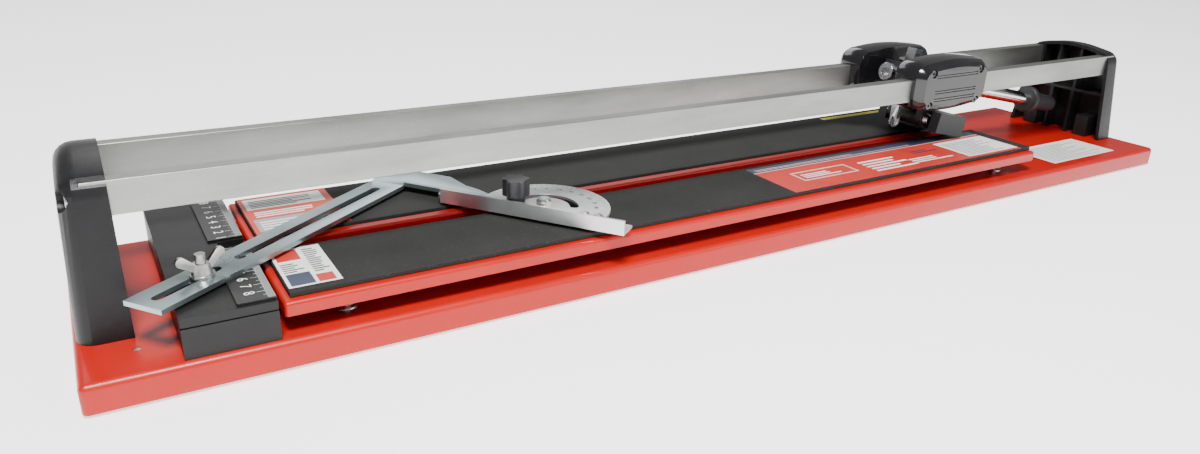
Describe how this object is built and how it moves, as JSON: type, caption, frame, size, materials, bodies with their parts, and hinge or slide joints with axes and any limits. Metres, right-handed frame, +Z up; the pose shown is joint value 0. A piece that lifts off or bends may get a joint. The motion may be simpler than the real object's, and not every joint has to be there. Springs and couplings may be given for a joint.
{
  "type": "tile cutter",
  "caption": "Manual two-rail tile cutter with sprung tables, a breaking ridge, a sliding lever carriage and an adjustable angle stop.",
  "frame": {"origin": "on the bench plane under the middle of the base tray, at the underside of the centre rubber foot", "axes": "+X along the rails, from the ruler end to the lever end; +Y across the rails, away from the user; +Z up"},
  "size_m": [0.995, 0.2006, 0.1273],
  "materials": {
    "red_paint": "glossy red powder coat",
    "foot_rubber": "matte",
    "zinc_screws": "zinc plated",
    "post_plastic": "finely textured charcoal",
    "rail_steel": "zinc plated, lightly brushed",
    "block_plastic": "satin black",
    "ruler_black": "black with white figures",
    "zinc_hardware": "zinc plated",
    "pad_rubber": "matte, fine grain",
    "spring_steel": "bright wire",
    "arm_zinc": "blue-grey zinc plate",
    "knob_plastic": "satin black",
    "aluminium_trim": "satin",
    "housing_gloss": "glossy black",
    "dark_screws": "blackened",
    "bright_steel": "machined",
    "nylon": "natural nylon",
    "cast_black": "satin black paint on a casting",
    "carbide": "ground",
    "lever_chrome": "polished",
    "grip_rubber": "matte black"
  },
  "bodies": {
    "frame": {"base_tray": "red_paint", "rubber_feet": "foot_rubber", "foot_screws": "zinc_screws", "left_post": "post_plastic", "right_post": "post_plastic", "post_screws": "zinc_screws", "front_rail": "rail_steel", "back_rail": "rail_steel", "rail_screws": "zinc_screws", "breaking_ridge": "red_paint", "stop_block": "block_plastic", "block_screws": "zinc_screws", "ruler_plates": "ruler_black", "clamp_stud": "zinc_hardware", "spacer_washer": "zinc_hardware", "front_springs": "spring_steel", "back_springs": "spring_steel"},
    "front_table": {"front_table": "red_paint", "front_pad": "pad_rubber", "front_guide_bolts": "zinc_screws", "front_guide_nuts": "zinc_screws"},
    "back_table": {"back_table": "red_paint", "back_pad": "pad_rubber", "back_guide_bolts": "zinc_screws", "back_guide_nuts": "zinc_screws"},
    "clamp_washer": {"clamp_washer": "zinc_hardware"},
    "wing_nut": {"wing_nut": "zinc_hardware"},
    "stop_arm": {"slotted_arm": "arm_zinc", "knob_stud": "zinc_hardware"},
    "star_knob": {"star_knob": "knob_plastic"},
    "fence": {"fence": "aluminium_trim", "protractor": "aluminium_trim", "disc_rivets": "zinc_hardware", "pivot_bolt": "zinc_hardware", "pivot_nut": "zinc_hardware"},
    "carriage": {"front_housing": "housing_gloss", "back_housing": "housing_gloss", "front_cover": "housing_gloss", "back_cover": "housing_gloss", "cover_screws": "dark_screws", "roller_pins": "bright_steel", "glide_shoes": "nylon", "cross_axle": "bright_steel"},
    "front_roller_left": {"front_roller_left": "bright_steel"},
    "front_roller_right": {"front_roller_right": "bright_steel"},
    "back_roller_left": {"back_roller_left": "bright_steel"},
    "back_roller_right": {"back_roller_right": "bright_steel"},
    "lever": {"lever_hub": "cast_black", "hub_screw": "bright_steel", "wheel_shaft": "bright_steel", "wheel_axle": "bright_steel", "lever_tube": "lever_chrome", "hand_guard": "grip_rubber", "grip": "grip_rubber", "foot_bolt": "bright_steel", "foot_nut": "bright_steel"},
    "cutting_wheel": {"cutting_wheel": "carbide"},
    "breaking_foot": {"breaking_foot": "cast_black"}
  },
  "joints": [
    {"name": "carriage_slide", "type": "slide", "parent": "frame", "child": "carriage", "axis": [1, 0, 0], "range_m": [-0.352, 0.005]},
    {"name": "lever_pivot", "type": "hinge", "parent": "carriage", "child": "lever", "pos_m": [0.22561, 0, 0.09711], "axis": [0, -1, 0], "range_deg": [0, 17]},
    {"name": "foot_pivot", "type": "hinge", "parent": "lever", "child": "breaking_foot", "pos_m": [0.22106, 0, 0.06127], "axis": [0, -1, 0], "range_deg": [0, 6]},
    {"name": "wheel_spin", "type": "hinge", "parent": "lever", "child": "cutting_wheel", "pos_m": [0.19856, 0, 0.05644], "axis": [0, 1, 0], "continuous": true},
    {"name": "front_roller_left_spin", "type": "hinge", "parent": "carriage", "child": "front_roller_left", "pos_m": [0.184, -0.03675, 0.1148], "axis": [0, 1, 0], "continuous": true},
    {"name": "front_roller_right_spin", "type": "hinge", "parent": "carriage", "child": "front_roller_right", "pos_m": [0.24, -0.03675, 0.1148], "axis": [0, 1, 0], "continuous": true},
    {"name": "back_roller_left_spin", "type": "hinge", "parent": "carriage", "child": "back_roller_left", "pos_m": [0.184, 0.03675, 0.1148], "axis": [0, 1, 0], "continuous": true},
    {"name": "back_roller_right_spin", "type": "hinge", "parent": "carriage", "child": "back_roller_right", "pos_m": [0.24, 0.03675, 0.1148], "axis": [0, 1, 0], "continuous": true},
    {"name": "front_table_press", "type": "slide", "parent": "frame", "child": "front_table", "axis": [0, 0, -1], "range_m": [0, 0.004], "stiffness_N_per_m": 8000, "springref_m": -0.004, "deforming": ["front_springs"]},
    {"name": "back_table_press", "type": "slide", "parent": "frame", "child": "back_table", "axis": [0, 0, -1], "range_m": [0, 0.004], "stiffness_N_per_m": 8000, "springref_m": -0.004, "deforming": ["back_springs"]},
    {"name": "arm_swing", "type": "hinge", "parent": "frame", "child": "clamp_washer", "pos_m": [-0.428, -0.0505, 0.049], "axis": [0, 0, 1], "range_deg": [-10, 20]},
    {"name": "arm_slide", "type": "slide", "parent": "clamp_washer", "child": "stop_arm", "axis": [0.7986, 0.6018, 0], "range_m": [-0.009, 0.031]},
    {"name": "fence_swing", "type": "hinge", "parent": "stop_arm", "child": "fence", "pos_m": [-0.20671, -0.0474, 0.047], "axis": [0, 0, 1], "range_deg": [0, 150]},
    {"name": "knob_turn", "type": "hinge", "parent": "stop_arm", "child": "star_knob", "pos_m": [-0.21965, -0.03023, 0.057], "axis": [0, 0, 1], "continuous": true},
    {"name": "wing_nut_turn", "type": "hinge", "parent": "frame", "child": "wing_nut", "pos_m": [-0.428, -0.0505, 0.053], "axis": [0, 0, 1], "continuous": true}
  ],
  "couplings": [
    {"joint": "front_roller_left_spin", "follows": "carriage_slide", "rad_per_m": 153.85},
    {"joint": "front_roller_right_spin", "follows": "carriage_slide", "rad_per_m": 153.85},
    {"joint": "back_roller_left_spin", "follows": "carriage_slide", "rad_per_m": 153.85},
    {"joint": "back_roller_right_spin", "follows": "carriage_slide", "rad_per_m": 153.85}
  ]
}
